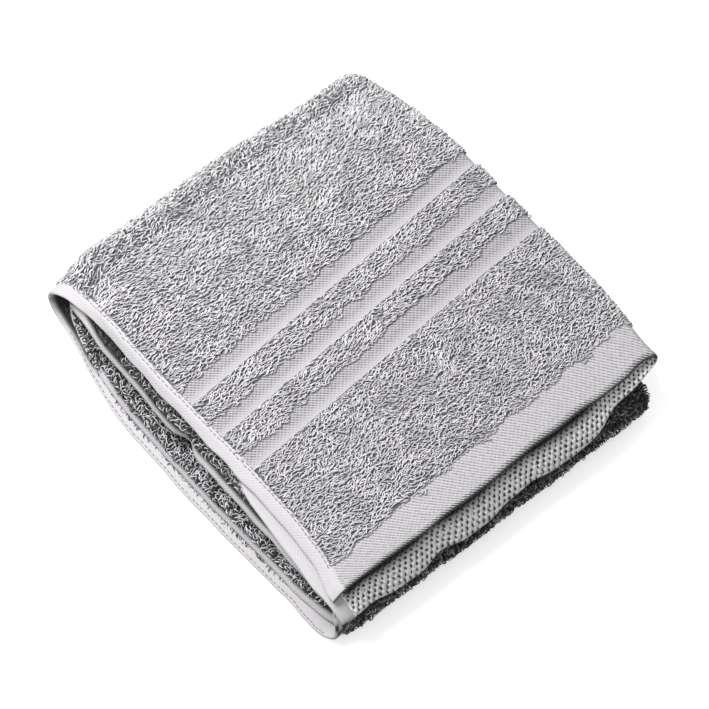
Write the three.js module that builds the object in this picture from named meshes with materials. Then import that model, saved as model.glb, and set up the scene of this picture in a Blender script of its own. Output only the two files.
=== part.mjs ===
// Folded hand towel, one piece of terry cloth hemmed all round.
// The cloth is folded in half along its length and the doubled strip is folded in half twice,
// so four doubled layers lie on each other. Millimetres, +Z up, resting on z = 0.
//
// Every point of the cloth is named by three flat coordinates: along (from the end hem that
// lies on top), across (from one side hem to the other) and offset (out of the middle of the
// cloth). Two bends carry it to its folded place: foldAcross halves the width, and
// foldAlong lays the doubled strip back and forth.

import * as THREE from "three";

// Cloth
const clothWidth = 500;
const sideHemWidth = 9.5;
const endHemWidth = 24;
const pileHalf = 2.95; // half thickness of the terry, loops on both faces
const flatHalf = 1.1; // half thickness of the flat woven bands
const hemHalf = 1.4; // half thickness of the turned hems
const pressedPile = 6; // width beside a side hem over which the pile rises

// Stack: eight plies, two to a layer
const plyPitch = 6.5;
const halfPitch = plyPitch / 2;
const topZ = 7 * plyPitch;
const upperZ = 5 * plyPitch;
const lowerZ = 3 * plyPitch;
const bottomZ = plyPitch;

// Ends and folds of the strip, as x of the straight runs' ends
const topEndX = 124;
const upperEndX = 106;
const outerFoldX = -135;
const innerFoldX = -134;
const frontFoldX = 122;
const outerFoldRadius = (topZ - bottomZ) / 2;
const smallFoldRadius = plyPitch;

// The top layer's inner ply has slid out beyond the outer one, and its end hangs down
const slideOut = 11;
const slideFade = 70;
const slideWidth = 90; // width beside the lengthwise fold over which the sliding grows
const slideLead = 10; // of that width, the part before the fold
const hangFromX = 119;
const hangRadius = 19;
const heldCorner = 30; // width beside its side hem over which the end is held up
const heldShare = 0.6;

// Flat woven bands, as distances from each end of the cloth
const flatBands = [
  { from: 101.5, to: 115 },
  { from: 130.5, to: 143.5 },
  { from: 159, to: 172 },
];
const bandStep = 1.3; // half the length over which the pile rises beside a band

const hemCurlLength = 4.5; // part of a side hem's width that bends
const sideReach = 19; // how far from a hem its ply starts to stand away from its partner

// The strip's route seen from the side: straight runs and the half turns between them.
// A turn of 1 goes round to the left of the way the strip runs, -1 to the right.
const route = [
  { name: "top", length: topEndX - outerFoldX, turn: 0 },
  { name: "outerFold", radius: outerFoldRadius, turn: 1 },
  { name: "bottom", length: frontFoldX - outerFoldX, turn: 0 },
  { name: "frontFold", radius: smallFoldRadius, turn: 1 },
  { name: "lower", length: frontFoldX - innerFoldX, turn: 0 },
  { name: "innerFold", radius: smallFoldRadius, turn: -1 },
  { name: "upper", length: upperEndX - innerFoldX, turn: 0 },
];

let clothLength = 0;
const pen = { x: topEndX, z: topZ, heading: Math.PI };
for (const leg of route) {
  if (leg.turn !== 0) {
    leg.length = Math.PI * leg.radius;
  }
  leg.start = clothLength;
  leg.x = pen.x;
  leg.z = pen.z;
  leg.heading = pen.heading;
  clothLength += leg.length;
  if (leg.turn === 0) {
    pen.x += Math.cos(leg.heading) * leg.length;
  } else {
    pen.z += leg.turn * Math.cos(leg.heading) * 2 * leg.radius;
    pen.heading += leg.turn * Math.PI;
  }
}

function runNamed(name) {
  return route.find((leg) => leg.name === name);
}

// Distance along the cloth of the place at x on a straight run
function onRun(name, x) {
  const leg = runNamed(name);
  return leg.start + Math.abs(x - leg.x);
}

function middleOf(name) {
  const leg = runNamed(name);
  return leg.start + leg.length / 2;
}

// How each layer lies: y where the outer and inner ply's side hems begin, y of the lengthwise
// fold, the angle in degrees by which each hem hangs down, and how far the side of each ply
// stands away from the other ply of its layer
const layoutColumns = [
  "at", "outerHem", "innerHem", "fold", "outerHang", "innerHang", "outerAway", "innerAway",
];
const layoutRows = [
  [onRun("top", 118), -111.5, -113.5, 129, -32, -6, 0, 1],
  [onRun("top", 80), -104, -110.5, 134, -33, -8, 0, 1],
  [onRun("top", 28), -102.5, -104.5, 136, -31, -4, 0, 0.6],
  [onRun("top", 0), -102.5, -98.5, 136, -36, 0, 0, 0.4],
  [onRun("top", -60), -103.8, -95, 136, -54, 0, 0, 0],
  [onRun("top", -108), -102.5, -94, 131, -58, 0, 0, 0],
  [onRun("top", -135), -102, -92, 126, -45, 0, 0, 0],
  [middleOf("outerFold"), -104.5, -92, 121, -5, 0, 0, 0],
  [onRun("bottom", -135), -108.5, -103, 125, 5, 20, 0, 0],
  [onRun("bottom", -108), -115.5, -112, 131, 9, 40, 0, 1],
  [onRun("bottom", -80), -120.5, -117.5, 133, 9, 56, 0, 2.2],
  [onRun("bottom", -54), -121.5, -118.5, 135, 9, 60, 0, 2.2],
  [onRun("bottom", 0), -122, -119, 136, 9, 60, 0, 2.2],
  [onRun("bottom", 60), -120, -117, 133, 9, 58, 0, 2],
  [onRun("bottom", 118), -119, -112, 121, 5, 30, 0, 0.5],
  [middleOf("frontFold"), -115.5, -105, 116, 0, 0, 0, 0],
  [onRun("lower", 100), -102, -98, 124, -15, 0, 0, 0],
  [onRun("lower", 0), -101, -97, 131, -20, 0, 0, 0],
  [onRun("lower", -100), -101, -97, 126, -15, 0, 0, 0],
  [middleOf("innerFold"), -96, -100, 122, 0, 0, 0, 0],
  [onRun("upper", -125), -94, -105, 126, 0, 50, 0, -1],
  [onRun("upper", -100), -94, -109, 127, 0, 66, 0, -2],
  [onRun("upper", -66), -94, -110, 130, 0, 66, 0, -2],
  [onRun("upper", -54), -94, -111.3, 131, 0, 70, 0, -2],
  [onRun("upper", -38), -94, -111.3, 131, 0, 74, 0, -2],
  [onRun("upper", -28), -94, -109.5, 131, 0, 100, 0, -1.5],
  [onRun("upper", -17), -94, -110.5, 131, 0, 60, 0, -1.5],
  [onRun("upper", 30), -94, -111, 132, 0, 60, 0, -1.6],
  [onRun("upper", 104), -95, -112, 124, 0, 48, 0, -1.6],
];
const layout = layoutRows.map((row) => {
  return Object.fromEntries(layoutColumns.map((name, i) => [name, row[i]]));
});

// The stack isn't quite square: slant is how far x moves for each millimetre of y
const slants = [
  { at: -160, slant: 0.04 },
  { at: -100, slant: -0.03 },
  { at: -35, slant: -0.058 },
  { at: 22, slant: -0.045 },
  { at: 102, slant: -0.018 },
  { at: 127, slant: 0.04 },
];
const slantCentreY = 10;

// The outer fold is drawn in at two places along its length, one on each side of calmY
const foldDraw = { fromX: -105, fadeLength: 25, most: 2.2, calmY: 20, waveLength: 150 };

// The corner of the outer fold at the side hems is pinched lower and drawn in
const pinch = { fromX: -106, fromY: -76, reach: 36, drawIn: 8, lower: 0.16 };

// The pile settles in slow waves, strongest at the top of the stack
const wave = { height: 0.8, lengthX: 43, lengthY: 51 };

function smoothStep(t) {
  const u = Math.min(Math.max(t, 0), 1);
  return u * u * (3 - 2 * u);
}

// Smooth curve through one named column of a table whose rows are sorted by their "at"
function readTable(table, key, at) {
  const last = table.length - 1;
  let i = 0;
  while (i < last - 1 && at > table[i + 1].at) {
    i += 1;
  }
  const slopeAt = (k) => {
    const before = table[Math.max(k - 1, 0)];
    const after = table[Math.min(k + 1, last)];
    return (after[key] - before[key]) / (after.at - before.at);
  };
  const span = table[i + 1].at - table[i].at;
  const t = Math.min(Math.max((at - table[i].at) / span, 0), 1);
  const rise = table[i + 1][key] - table[i][key];
  const startSlope = slopeAt(i) * span;
  const endSlope = slopeAt(i + 1) * span;
  return table[i][key] + smoothStep(t) * rise
    + (t ** 3 - 2 * t ** 2 + t) * startSlope + (t ** 3 - t ** 2) * endSlope;
}

const noseLength = Math.PI * halfPitch;
const plyWidth = (clothWidth - noseLength) / 2;

// Halves the width: gives y, and lift, the height above the middle of the doubled strip
function foldAcross(along, across, offset) {
  const onOuter = across < clothWidth / 2;
  const side = onOuter ? 1 : -1;
  const hemY = readTable(layout, onOuter ? "outerHem" : "innerHem", along);
  const foldY = readTable(layout, "fold", along) - halfPitch;
  const fromSide = onOuter ? across : clothWidth - across;
  const nearSide = smoothStep((sideHemWidth + sideReach - fromSide) / sideReach);
  const away = readTable(layout, onOuter ? "outerAway" : "innerAway", along) * nearSide;
  if (fromSide > plyWidth) {
    const turn = (across - plyWidth) / halfPitch;
    const radius = halfPitch + offset;
    return { y: foldY + radius * Math.sin(turn), lift: radius * Math.cos(turn) };
  }
  if (fromSide >= sideHemWidth) {
    const part = (fromSide - sideHemWidth) / (plyWidth - sideHemWidth);
    return { y: hemY + part * (foldY - hemY), lift: side * (halfPitch + away + offset) };
  }
  const hang = THREE.MathUtils.degToRad(readTable(layout, onOuter ? "outerHang" : "innerHang", along));
  const bend = (Math.abs(hang) < 1e-4 ? 1e-4 : hang) / hemCurlLength;
  const past = sideHemWidth - fromSide;
  const curled = Math.min(past, hemCurlLength);
  const angle = bend * curled;
  const straight = past - curled;
  return {
    y: hemY - Math.sin(angle) / bend - straight * Math.cos(angle) + side * offset * Math.sin(angle),
    lift: side * (halfPitch + away) + (1 - Math.cos(angle)) / bend + straight * Math.sin(angle)
      + side * offset * Math.cos(angle),
  };
}

// Lays the doubled strip back and forth: gives x and z of a point lifted off its middle
function foldAlong(along, lift) {
  let leg = route[0];
  for (const next of route) {
    if (along >= next.start) {
      leg = next;
    }
  }
  const past = along - leg.start;
  if (leg.turn === 0) {
    const way = Math.cos(leg.heading);
    return { x: leg.x + way * past, z: leg.z - way * lift };
  }
  const heading = leg.heading + leg.turn * past / leg.radius;
  const centreZ = leg.z + leg.turn * Math.cos(leg.heading) * leg.radius;
  const reach = leg.turn * leg.radius + lift;
  return { x: leg.x + Math.sin(heading) * reach, z: centreZ - Math.cos(heading) * reach };
}

// Settles the square stack into its uneven shape; z = 0 stays flat
function settle(x, y, z) {
  const slanted = x + readTable(slants, "slant", x) * (y - slantCentreY);
  const height = z - (bottomZ - halfPitch - pileHalf);
  const inCorner = smoothStep((pinch.fromY - y) / pinch.reach)
    * smoothStep((pinch.fromX - slanted) / pinch.reach);
  const share = height / topZ;
  const turns = 2 * Math.PI * (y - foldDraw.calmY) / foldDraw.waveLength;
  const drawn = foldDraw.most * (1 - Math.cos(turns)) / 2
    * smoothStep((foldDraw.fromX - slanted) / foldDraw.fadeLength);
  const waves = Math.sin(slanted / wave.lengthX) * Math.cos(y / wave.lengthY);
  return [
    slanted + drawn + pinch.drawIn * inCorner * share,
    y,
    height * (1 - pinch.lower * inCorner) + wave.height * share * waves,
  ];
}

function foldedPoint(along, across, offset) {
  const onInner = smoothStep((across - plyWidth + slideLead) / slideWidth);
  const slid = along - slideOut * onInner * Math.max(0, 1 - along / slideFade);
  const { y, lift } = foldAcross(slid, across, offset);
  const { x, z } = foldAlong(slid, lift);
  const past = along < slideFade ? Math.max(0, x - hangFromX) : 0;
  const held = heldShare * smoothStep((across - clothWidth) / heldCorner + 1);
  return settle(x, y, z - onInner * (1 - held) * past ** 2 / hangRadius);
}

// Half thickness of the cloth: flat at the hems and in the woven bands, pile between
function halfThickness(along, across) {
  const fromEnd = Math.min(along, clothLength - along);
  const fromSide = Math.min(across, clothWidth - across);
  if (fromEnd <= endHemWidth || fromSide <= sideHemWidth) {
    return hemHalf;
  }
  for (const band of flatBands) {
    if (fromEnd >= band.from && fromEnd <= band.to) {
      return flatHalf;
    }
  }
  const rise = smoothStep((fromSide - sideHemWidth) / pressedPile);
  return hemHalf + (pileHalf - hemHalf) * rise;
}

// Steps of the mesh: close together beside the hems, bands, folds and the pinched corner
const runStops = [70, 15, -40, -70, -95, -110, -123]; // x of the steps on a straight run
const cornerStops = 4; // how many of them the two hemmed layers need past their bands
const foldSteps = 8;
const sideZone = 52; // width beside each side hem with closer steps

function stepsBetween(from, to, count) {
  return Array.from({ length: count }, (_, i) => from + (to - from) * (i + 1) / count);
}

function alongSteps() {
  const nearEnd = [0, 10, endHemWidth, endHemWidth + bandStep * 2];
  nearEnd.push(...stepsBetween(endHemWidth + bandStep * 2, flatBands[0].from - bandStep, 3));
  for (const [i, band] of flatBands.entries()) {
    if (i > 0) {
      nearEnd.push(band.from - bandStep);
    }
    nearEnd.push(band.from, band.to, band.to + bandStep);
  }
  const atStops = (name, count) => runStops.slice(-count).map((x) => onRun(name, x));
  const roundFold = (name) => {
    const { start, length } = runNamed(name);
    return [start, ...stepsBetween(start, start + length, foldSteps)];
  };
  return [
    ...nearEnd,
    ...atStops("top", cornerStops),
    ...roundFold("outerFold"),
    ...atStops("bottom", runStops.length).reverse(),
    ...roundFold("frontFold"),
    ...atStops("lower", runStops.length),
    ...roundFold("innerFold"),
    ...atStops("upper", cornerStops).reverse(),
    ...nearEnd.map((step) => clothLength - step).reverse(),
  ];
}

function acrossSteps() {
  const besideHem = sideHemWidth + pressedPile;
  const curlEnd = sideHemWidth - hemCurlLength;
  const curlMiddle = sideHemWidth - hemCurlLength / 2;
  const ply = [0, curlEnd, curlMiddle, sideHemWidth, sideHemWidth + pressedPile / 2, besideHem];
  ply.push(...stepsBetween(besideHem, sideZone, 3), ...stepsBetween(sideZone, plyWidth, 4));
  const nose = stepsBetween(plyWidth, plyWidth + noseLength, 6).slice(0, -1);
  return [...ply, ...nose, ...ply.map((step) => clothWidth - step).reverse()];
}

// The closed skin: a grid on each face of the cloth, joined round the rim
function buildCloth() {
  const rows = alongSteps();
  const columns = acrossSteps();
  const positions = [];
  const faces = [];
  for (const face of [1, -1]) {
    for (const along of rows) {
      for (const across of columns) {
        positions.push(...foldedPoint(along, across, face * halfThickness(along, across)));
      }
    }
  }
  const width = columns.length;
  const backStart = rows.length * width;
  const quad = (a, b, c, d) => faces.push(a, b, c, a, c, d);
  for (let i = 0; i + 1 < rows.length; i += 1) {
    for (let j = 0; j + 1 < width; j += 1) {
      const a = i * width + j;
      quad(a, a + 1, a + width + 1, a + width);
      quad(backStart + a, backStart + a + width, backStart + a + width + 1, backStart + a + 1);
    }
  }
  for (let j = 0; j + 1 < width; j += 1) {
    const end = backStart - width + j;
    quad(j, backStart + j, backStart + j + 1, j + 1);
    quad(end, end + 1, backStart + end + 1, backStart + end);
  }
  for (let i = 0; i + 1 < rows.length; i += 1) {
    const near = i * width;
    const far = near + width - 1;
    quad(near, near + width, backStart + near + width, backStart + near);
    quad(far, backStart + far, backStart + far + width, far + width);
  }
  const geometry = new THREE.BufferGeometry();
  geometry.setAttribute("position", new THREE.Float32BufferAttribute(positions, 3));
  geometry.setIndex(faces);
  geometry.computeVertexNormals();
  return geometry;
}

// The footprint's centre is the origin
const cloth = buildCloth();
cloth.computeBoundingBox();
const centre = cloth.boundingBox.getCenter(new THREE.Vector3());
cloth.translate(-centre.x, -centre.y, -cloth.boundingBox.min.z);

const silverTerry = new THREE.MeshStandardMaterial({ color: 0xc9c7c8, roughness: 0.95, metalness: 0 });
const towel = new THREE.Mesh(cloth, silverTerry);
towel.name = "folded_towel";

const part = new THREE.Group();
part.add(towel);

export default part;
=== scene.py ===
import math

import bpy
import numpy as np
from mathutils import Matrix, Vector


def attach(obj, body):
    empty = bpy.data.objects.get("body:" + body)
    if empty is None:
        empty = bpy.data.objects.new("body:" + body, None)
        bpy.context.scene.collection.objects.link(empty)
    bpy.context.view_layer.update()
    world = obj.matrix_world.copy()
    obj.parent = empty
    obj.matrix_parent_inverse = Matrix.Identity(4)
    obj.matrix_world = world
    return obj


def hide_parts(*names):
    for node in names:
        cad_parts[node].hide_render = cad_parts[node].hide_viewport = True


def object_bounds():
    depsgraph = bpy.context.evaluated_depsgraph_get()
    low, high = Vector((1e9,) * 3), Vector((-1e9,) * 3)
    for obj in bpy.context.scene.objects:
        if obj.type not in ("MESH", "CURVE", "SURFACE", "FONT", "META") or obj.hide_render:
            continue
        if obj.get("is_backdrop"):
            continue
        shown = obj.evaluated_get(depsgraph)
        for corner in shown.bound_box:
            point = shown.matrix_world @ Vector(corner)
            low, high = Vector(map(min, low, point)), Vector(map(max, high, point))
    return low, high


# A folded hand towel of light grey terry: one cloth with flat woven bands across each end.
# Cloth coordinates are millimetres in the flat: along (from the end hem that lies on top),
# across (from one side hem to the other) and offset (out of the middle of the cloth).
# foldedPoint carries them to the folded stack, and meshes are in metres.

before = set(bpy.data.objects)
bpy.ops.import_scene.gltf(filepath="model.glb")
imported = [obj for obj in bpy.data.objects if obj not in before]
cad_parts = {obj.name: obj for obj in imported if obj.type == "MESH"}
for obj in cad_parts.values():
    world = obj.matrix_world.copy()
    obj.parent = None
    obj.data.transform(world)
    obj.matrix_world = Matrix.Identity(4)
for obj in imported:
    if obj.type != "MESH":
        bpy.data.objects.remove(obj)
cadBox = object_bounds()
print("frame loaded, box", [round(value, 4) for corner in cadBox for value in corner])

metresPerMillimetre = 0.001
random = np.random.default_rng(4117)

stack = {
    "width": 500.0,  # of the cloth, side hem to side hem
    "sideHem": 9.5,
    "sideReach": 19.0,  # how far from a hem its ply starts to stand away from its partner
    "hemCurl": 4.5,  # part of a side hem that bends
    "plies": 8,
    "pitch": 6.5,  # from ply to ply
    "topEnd": 124.0,  # x where the straight runs end
    "upperEnd": 106.0,
    "outerFold": -135.0,
    "innerFold": -134.0,
    "frontFold": 122.0,
    "slideOut": 11.0,  # how far the second ply has slid out of the top layer
    "slideFade": 70.0,
    "slideWidth": 90.0,  # beside the lengthwise fold, over which the sliding grows
    "slideLead": 10.0,  # of that width, the part before the fold
    "hangFrom": 119.0,  # its end hangs down beyond this x
    "hangRadius": 19.0,
    "heldCorner": 30.0,  # width beside its side hem over which the end is held up
    "heldShare": 0.6,
    "slantCentre": 10.0,
    "pinchFrom": (-106.0, -76.0),  # the pinched corner of the outer fold, x and y
    "pinchReach": 36.0,
    "pinchIn": 8.0,
    "pinchLower": 0.16,
    "drawFrom": (-105.0, 25.0),  # the outer fold is drawn in beyond this x, fully so later
    "drawMost": 2.2,
    "drawWave": (20.0, 150.0),  # calm at this y, and the length of the wave
    "waveHeight": 0.8,
    "waveLength": (43.0, 51.0),
    "pressedHalf": 2.95,  # half thickness of the terry in the stack
    "footprintCentre": (-11.7592, 3.9662),
}

halfPitch = stack["pitch"] / 2
noseLength = math.pi * halfPitch
plyWidth = (stack["width"] - noseLength) / 2


def layRoute():
    # the doubled strip seen from the side: straight runs, and half turns between them,
    # each with its start along the cloth, the place and heading there, radius and turn
    pitch, plies = stack["pitch"], stack["plies"]
    legs = [
        ("top", stack["topEnd"] - stack["outerFold"], 0, 0),
        ("outerFold", 0, (plies / 2 - 1) * pitch, 1),
        ("bottom", stack["frontFold"] - stack["outerFold"], 0, 0),
        ("frontFold", 0, pitch, 1),
        ("lower", stack["frontFold"] - stack["innerFold"], 0, 0),
        ("innerFold", 0, pitch, -1),
        ("upper", stack["upperEnd"] - stack["innerFold"], 0, 0),
    ]
    names, rows = [], []
    start, x, z, heading = 0.0, stack["topEnd"], (plies - 1) * pitch, math.pi
    for name, length, radius, turn in legs:
        length = math.pi * radius if turn else length
        names.append(name)
        rows.append((start, length, x, z, heading, radius, turn))
        start += length
        if turn:
            z += turn * math.cos(heading) * 2 * radius
            heading += turn * math.pi
        else:
            x += math.cos(heading) * length
    return names, np.array(rows).T, start


legNames, route, clothLength = layRoute()
legStart, legLength, legX, legZ, legHeading, legRadius, legTurn = route


def onRun(name, x):
    # along the cloth where that straight run passes x
    leg = legNames.index(name)
    return legStart[leg] + abs(x - legX[leg])


def middleOf(name):
    # along the cloth at the middle of that run or turn
    leg = legNames.index(name)
    return legStart[leg] + legLength[leg] / 2


def legAt(along):
    # number of the run or turn that a place lies on
    return np.clip(np.searchsorted(legStart, along, side="right") - 1, 0, len(legStart) - 1)


def fromEdges(along, across):
    # how far a place is from the nearer end of the cloth, and from its nearer side
    return np.minimum(along, clothLength - along), np.minimum(across, stack["width"] - across)


# how each layer lies: y where the outer and the inner ply's side hems begin, y of the
# lengthwise fold, the degrees by which each hem hangs down, and how far the side of each
# ply stands away from the other
layoutColumns = ("at", "outerHem", "innerHem", "fold", "outerHang", "innerHang",
                 "outerAway", "innerAway")
layout = np.array([
    (onRun("top", 118), -111.5, -113.5, 129, -32, -6, 0, 1),
    (onRun("top", 80), -104, -110.5, 134, -33, -8, 0, 1),
    (onRun("top", 28), -102.5, -104.5, 136, -31, -4, 0, 0.6),
    (onRun("top", 0), -102.5, -98.5, 136, -36, 0, 0, 0.4),
    (onRun("top", -60), -103.8, -95, 136, -54, 0, 0, 0),
    (onRun("top", -108), -102.5, -94, 131, -58, 0, 0, 0),
    (onRun("top", -135), -102, -92, 126, -45, 0, 0, 0),
    (middleOf("outerFold"), -104.5, -92, 121, -5, 0, 0, 0),
    (onRun("bottom", -135), -108.5, -103, 125, 5, 20, 0, 0),
    (onRun("bottom", -108), -115.5, -112, 131, 9, 40, 0, 1),
    (onRun("bottom", -80), -120.5, -117.5, 133, 9, 56, 0, 2.2),
    (onRun("bottom", -54), -121.5, -118.5, 135, 9, 60, 0, 2.2),
    (onRun("bottom", 0), -122, -119, 136, 9, 60, 0, 2.2),
    (onRun("bottom", 60), -120, -117, 133, 9, 58, 0, 2),
    (onRun("bottom", 118), -119, -112, 121, 5, 30, 0, 0.5),
    (middleOf("frontFold"), -115.5, -105, 116, 0, 0, 0, 0),
    (onRun("lower", 100), -102, -98, 124, -15, 0, 0, 0),
    (onRun("lower", 0), -101, -97, 131, -20, 0, 0, 0),
    (onRun("lower", -100), -101, -97, 126, -15, 0, 0, 0),
    (middleOf("innerFold"), -96, -100, 122, 0, 0, 0, 0),
    (onRun("upper", -125), -94, -105, 126, 0, 50, 0, -1),
    (onRun("upper", -100), -94, -109, 127, 0, 66, 0, -2),
    (onRun("upper", -66), -94, -110, 130, 0, 66, 0, -2),
    (onRun("upper", -54), -94, -111.3, 131, 0, 70, 0, -2),
    (onRun("upper", -38), -94, -111.3, 131, 0, 74, 0, -2),
    (onRun("upper", -28), -94, -109.5, 131, 0, 100, 0, -1.5),
    (onRun("upper", -17), -94, -110.5, 131, 0, 60, 0, -1.5),
    (onRun("upper", 30), -94, -111, 132, 0, 60, 0, -1.6),
    (onRun("upper", 104), -95, -112, 124, 0, 48, 0, -1.6),
], dtype=float)

# the stack isn't quite square: x moves by so much for each millimetre of y
slantColumns = ("at", "slant")
slants = np.array([
    (-160, 0.04), (-100, -0.03), (-35, -0.058), (22, -0.045), (102, -0.018), (127, 0.04),
])


def smoothStep(t):
    # 0 below 0, 1 above 1, and the cubic between that starts and ends level
    u = np.clip(t, 0, 1)
    return u * u * (3 - 2 * u)


def readTable(table, columns, name, at):
    # smooth curve through one column: cubic between rows, with the neighbours' mean slopes
    knots = table[:, 0]
    values = table[:, columns.index(name)]
    last = len(knots) - 1
    before = np.maximum(np.arange(last + 1) - 1, 0)
    after = np.minimum(np.arange(last + 1) + 1, last)
    slopes = (values[after] - values[before]) / (knots[after] - knots[before])
    i = np.clip(np.searchsorted(knots[1:last], at, side="left"), 0, last - 1)
    span = knots[i + 1] - knots[i]
    t = np.clip((at - knots[i]) / span, 0, 1)
    rise = values[i + 1] - values[i]
    return (values[i] + smoothStep(t) * rise
            + (t**3 - 2 * t**2 + t) * slopes[i] * span + (t**3 - t**2) * slopes[i + 1] * span)


def foldAcross(along, across, offset):
    # halves the width: y, and lift, the height above the middle of the doubled strip.
    # flat plies, half a circle round the lengthwise fold, and hems bent down by an arc
    onOuter = across < stack["width"] / 2
    side = np.where(onOuter, 1.0, -1.0)
    pick = lambda outer, inner: np.where(
        onOuter, readTable(layout, layoutColumns, outer, along),
        readTable(layout, layoutColumns, inner, along))
    hemY = pick("outerHem", "innerHem")
    hang = np.radians(pick("outerHang", "innerHang"))
    foldY = readTable(layout, layoutColumns, "fold", along) - halfPitch
    fromSide = np.where(onOuter, across, stack["width"] - across)
    nearSide = smoothStep((stack["sideHem"] + stack["sideReach"] - fromSide)
                          / stack["sideReach"])
    away = pick("outerAway", "innerAway") * nearSide
    turn = (across - plyWidth) / halfPitch
    radius = halfPitch + offset
    part = (fromSide - stack["sideHem"]) / (plyWidth - stack["sideHem"])
    straightest = 1e-4  # radians, because a hem that doesn't bend at all has no radius
    bend = np.where(np.abs(hang) < straightest, straightest, hang) / stack["hemCurl"]
    past = stack["sideHem"] - fromSide
    curled = np.minimum(past, stack["hemCurl"])
    angle = bend * curled
    straight = past - curled
    onNose = fromSide > plyWidth
    inPly = fromSide >= stack["sideHem"]
    y = np.where(
        onNose, foldY + radius * np.sin(turn),
        np.where(inPly, hemY + part * (foldY - hemY),
                 hemY - np.sin(angle) / bend - straight * np.cos(angle)
                 + side * offset * np.sin(angle)))
    lift = np.where(
        onNose, radius * np.cos(turn),
        np.where(inPly, side * (radius + away),
                 side * (halfPitch + away) + (1 - np.cos(angle)) / bend + straight * np.sin(angle)
                 + side * offset * np.cos(angle)))
    return y, lift


def foldAlong(along, lift):
    # lays the doubled strip back and forth: straight legs, and half circles whose radius
    # grows or shrinks by the lift
    leg = legAt(along)
    past = along - legStart[leg]
    turn, heading = legTurn[leg], legHeading[leg]
    way = np.cos(heading)
    turned = heading + turn * past / np.where(turn == 0, 1, legRadius[leg])
    reach = turn * legRadius[leg] + lift
    x = np.where(turn == 0, legX[leg] + way * past, legX[leg] + np.sin(turned) * reach)
    z = np.where(turn == 0, legZ[leg] - way * lift,
                 legZ[leg] + turn * way * legRadius[leg] - np.cos(turned) * reach)
    return x, z


def settle(x, y, z):
    # slants the square stack, pinches one corner of its outer fold and adds slow waves
    slanted = x + readTable(slants, slantColumns, "slant", x) * (y - stack["slantCentre"])
    height = z - (stack["pitch"] - halfPitch - stack["pressedHalf"])
    fromX, fromY = stack["pinchFrom"]
    inCorner = (smoothStep((fromY - y) / stack["pinchReach"])
                * smoothStep((fromX - slanted) / stack["pinchReach"]))
    share = height / ((stack["plies"] - 1) * stack["pitch"])
    calmY, waveLength = stack["drawWave"]
    drawFromX, drawFade = stack["drawFrom"]
    drawn = (stack["drawMost"] * (1 - np.cos(2 * math.pi * (y - calmY) / waveLength)) / 2
             * smoothStep((drawFromX - slanted) / drawFade))
    waves = np.sin(slanted / stack["waveLength"][0]) * np.cos(y / stack["waveLength"][1])
    return (slanted + drawn + stack["pinchIn"] * inCorner * share, y,
            height * (1 - stack["pinchLower"] * inCorner)
            + stack["waveHeight"] * share * waves)


def foldedPoint(along, across, offset):
    # millimetres in the flat to millimetres in the stack, centred on its footprint
    along, across, offset = np.broadcast_arrays(
        *(np.asarray(part, dtype=float) for part in (along, across, offset)))
    onInner = smoothStep((across - plyWidth + stack["slideLead"]) / stack["slideWidth"])
    slid = along - (stack["slideOut"] * onInner
                    * np.maximum(0, 1 - along / stack["slideFade"]))
    y, lift = foldAcross(slid, across, offset)
    x, z = foldAlong(slid, lift)
    past = np.where(along < stack["slideFade"], np.maximum(0, x - stack["hangFrom"]), 0)
    held = stack["heldShare"] * smoothStep(
        (across - stack["width"]) / stack["heldCorner"] + 1)
    hung = onInner * (1 - held) * past**2 / stack["hangRadius"]
    x, y, z = settle(x, y, z - hung)
    centreX, centreY = stack["footprintCentre"]
    return np.stack([x - centreX, y - centreY, z], axis=-1)


noiseSeeds = {"clumps": 11, "slow": 12, "endHem": 21, "sideHem": 22, "pucker": 23,
              "tufts": 31, "sideTufts": 32, "cracks": 41}


def softNoise(u, v, cell, name):
    # numbers at the corners of a square grid, blended by smooth steps: -1 to 1
    cells, start = 64, 1000
    corners = np.random.default_rng(noiseSeeds[name]).uniform(-1, 1, (cells, cells))
    u, v = u / cell + start, v / cell + start
    i, j = np.floor(u).astype(int), np.floor(v).astype(int)
    s, t = smoothStep(u - i), smoothStep(v - j)
    corner = lambda di, dj: corners[(i + di) % cells, (j + dj) % cells]
    return ((corner(0, 0) * (1 - s) + corner(1, 0) * s) * (1 - t)
            + (corner(0, 1) * (1 - s) + corner(1, 1) * s) * t)


straying = {
    "endHem": (1.4, 17.0, 30.0),  # how far an end hem strays, its wave length, its width
    "sideHem": (0.7, 15.0, 14.0),
    "pucker": (0.22, 4.5),  # how far a seam draws the cloth up or down, and its wave length
}


def clothPoint(along, across, offset):
    # the folded place once the hems have strayed in and out along slow waves, and once
    # their seams have puckered them
    fromEnd, fromSide = fromEdges(along, across)
    endReach, endWave, endWidth = straying["endHem"]
    sideReach, sideWave, sideWidth = straying["sideHem"]
    drawn, puckerWave = straying["pucker"]
    inEnd = smoothStep(1 - fromEnd / endWidth)
    inSide = smoothStep(1 - fromSide / sideWidth)
    return foldedPoint(
        along + endReach * softNoise(across, 0 * along, endWave, "endHem") * inEnd,
        across + sideReach * softNoise(along, 0 * across, sideWave, "sideHem") * inSide,
        offset + (drawn * softNoise(along, across, puckerWave, "pucker")
                  * np.maximum(inEnd, inSide)))


def unit(vectors):
    # the same directions, each 1 long
    return vectors / np.linalg.norm(vectors, axis=-1, keepdims=True)


def standOn(along, across, ground, face):
    # the place on that face of the cloth, and the unit vectors along, across and out of it
    small = 0.5
    root = clothPoint(along, across, ground)
    alongWay = unit(clothPoint(along + small, across, ground)
                    - clothPoint(along - small, across, ground))
    acrossWay = (clothPoint(along, across + small, ground)
                 - clothPoint(along, across - small, ground))
    up = unit(np.cross(acrossWay, alongWay)) * face
    return root, alongWay, unit(np.cross(alongWay, up)) * face, up


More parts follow.
